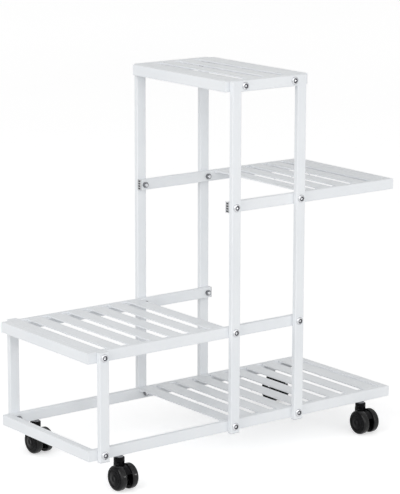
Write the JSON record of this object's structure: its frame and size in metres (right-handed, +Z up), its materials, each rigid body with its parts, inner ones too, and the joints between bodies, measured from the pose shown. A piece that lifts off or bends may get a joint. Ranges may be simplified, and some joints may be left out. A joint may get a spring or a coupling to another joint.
{
  "type": "plant stand",
  "caption": "Tiered metal plant stand with slatted shelves stepped either side of a bolted flat-tube tower, on twin-wheel swivel casters.",
  "frame": {"origin": "on the floor under the middle of the overall bounding box, casters and bolt heads included", "axes": "+Z up; +X along the long rails from the low left shelf towards the high right shelf; +Y from the front rails to the rear rails"},
  "size_m": [0.7, 0.3226, 0.704],
  "materials": {
    "white_coat": "satin powder coat",
    "caster_black": "gloss black moulding",
    "plug_black": "matt black moulding",
    "plug_white": "white moulding",
    "bolt_steel": "plated steel",
    "zinc_steel": "zinc plated"
  },
  "bodies": {
    "stand": {"base_front_rail": "white_coat", "base_rear_rail": "white_coat", "base_left_end_tube": "white_coat", "base_right_end_tube": "white_coat", "base_ledges": "white_coat", "base_slats": "white_coat", "left_shelf_front_rail": "white_coat", "left_shelf_rear_rail": "white_coat", "left_shelf_end_tube": "white_coat", "left_shelf_ledges": "white_coat", "left_shelf_slats": "white_coat", "right_shelf_front_rail": "white_coat", "right_shelf_rear_rail": "white_coat", "right_shelf_end_tube": "white_coat", "right_shelf_ledges": "white_coat", "right_shelf_slats": "white_coat", "top_front_rail": "white_coat", "top_rear_rail": "white_coat", "top_left_end_tube": "white_coat", "top_right_end_tube": "white_coat", "top_ledges": "white_coat", "top_slats": "white_coat", "front_short_leg": "white_coat", "rear_short_leg": "white_coat", "short_leg_caps": "white_coat", "front_frame_left_leg": "white_coat", "front_frame_right_leg": "white_coat", "front_frame_top_bar": "white_coat", "rear_frame_left_leg": "white_coat", "rear_frame_right_leg": "white_coat", "rear_frame_top_bar": "white_coat", "front_bolts": "bolt_steel", "rear_bolts": "bolt_steel", "front_nuts": "zinc_steel", "rear_nuts": "zinc_steel", "caster_bushes": "zinc_steel", "leg_foot_plugs": "plug_black", "rail_end_plugs": "plug_white", "front_left_caster_stem": "zinc_steel", "front_right_caster_stem": "zinc_steel", "rear_left_caster_stem": "zinc_steel", "rear_right_caster_stem": "zinc_steel"},
    "front_left_caster_fork": {"front_left_caster_fork": "caster_black", "front_left_caster_axle": "zinc_steel"},
    "front_left_caster_left_wheel": {"front_left_caster_left_wheel": "caster_black"},
    "front_left_caster_right_wheel": {"front_left_caster_right_wheel": "caster_black"},
    "front_right_caster_fork": {"front_right_caster_fork": "caster_black", "front_right_caster_axle": "zinc_steel"},
    "front_right_caster_left_wheel": {"front_right_caster_left_wheel": "caster_black"},
    "front_right_caster_right_wheel": {"front_right_caster_right_wheel": "caster_black"},
    "rear_left_caster_fork": {"rear_left_caster_fork": "caster_black", "rear_left_caster_axle": "zinc_steel"},
    "rear_left_caster_left_wheel": {"rear_left_caster_left_wheel": "caster_black"},
    "rear_left_caster_right_wheel": {"rear_left_caster_right_wheel": "caster_black"},
    "rear_right_caster_fork": {"rear_right_caster_fork": "caster_black", "rear_right_caster_axle": "zinc_steel"},
    "rear_right_caster_left_wheel": {"rear_right_caster_left_wheel": "caster_black"},
    "rear_right_caster_right_wheel": {"rear_right_caster_right_wheel": "caster_black"}
  },
  "joints": [
    {"name": "front_left_caster_swivel", "type": "hinge", "parent": "stand", "child": "front_left_caster_fork", "pos_m": [-0.282, -0.1263, 0.0567], "axis": [0, 0, 1], "continuous": true},
    {"name": "front_left_caster_left_roll", "type": "hinge", "parent": "front_left_caster_fork", "child": "front_left_caster_left_wheel", "pos_m": [-0.282, -0.1383, 0.023], "axis": [1, 0, 0], "continuous": true},
    {"name": "front_left_caster_right_roll", "type": "hinge", "parent": "front_left_caster_fork", "child": "front_left_caster_right_wheel", "pos_m": [-0.282, -0.1383, 0.023], "axis": [1, 0, 0], "continuous": true},
    {"name": "front_right_caster_swivel", "type": "hinge", "parent": "stand", "child": "front_right_caster_fork", "pos_m": [0.282, -0.1263, 0.0567], "axis": [0, 0, 1], "continuous": true},
    {"name": "front_right_caster_left_roll", "type": "hinge", "parent": "front_right_caster_fork", "child": "front_right_caster_left_wheel", "pos_m": [0.282, -0.1383, 0.023], "axis": [1, 0, 0], "continuous": true},
    {"name": "front_right_caster_right_roll", "type": "hinge", "parent": "front_right_caster_fork", "child": "front_right_caster_right_wheel", "pos_m": [0.282, -0.1383, 0.023], "axis": [1, 0, 0], "continuous": true},
    {"name": "rear_left_caster_swivel", "type": "hinge", "parent": "stand", "child": "rear_left_caster_fork", "pos_m": [-0.282, 0.1437, 0.0567], "axis": [0, 0, 1], "continuous": true},
    {"name": "rear_left_caster_left_roll", "type": "hinge", "parent": "rear_left_caster_fork", "child": "rear_left_caster_left_wheel", "pos_m": [-0.282, 0.1317, 0.023], "axis": [1, 0, 0], "continuous": true},
    {"name": "rear_left_caster_right_roll", "type": "hinge", "parent": "rear_left_caster_fork", "child": "rear_left_caster_right_wheel", "pos_m": [-0.282, 0.1317, 0.023], "axis": [1, 0, 0], "continuous": true},
    {"name": "rear_right_caster_swivel", "type": "hinge", "parent": "stand", "child": "rear_right_caster_fork", "pos_m": [0.282, 0.1437, 0.0567], "axis": [0, 0, 1], "continuous": true},
    {"name": "rear_right_caster_left_roll", "type": "hinge", "parent": "rear_right_caster_fork", "child": "rear_right_caster_left_wheel", "pos_m": [0.282, 0.1317, 0.023], "axis": [1, 0, 0], "continuous": true},
    {"name": "rear_right_caster_right_roll", "type": "hinge", "parent": "rear_right_caster_fork", "child": "rear_right_caster_right_wheel", "pos_m": [0.282, 0.1317, 0.023], "axis": [1, 0, 0], "continuous": true}
  ]
}
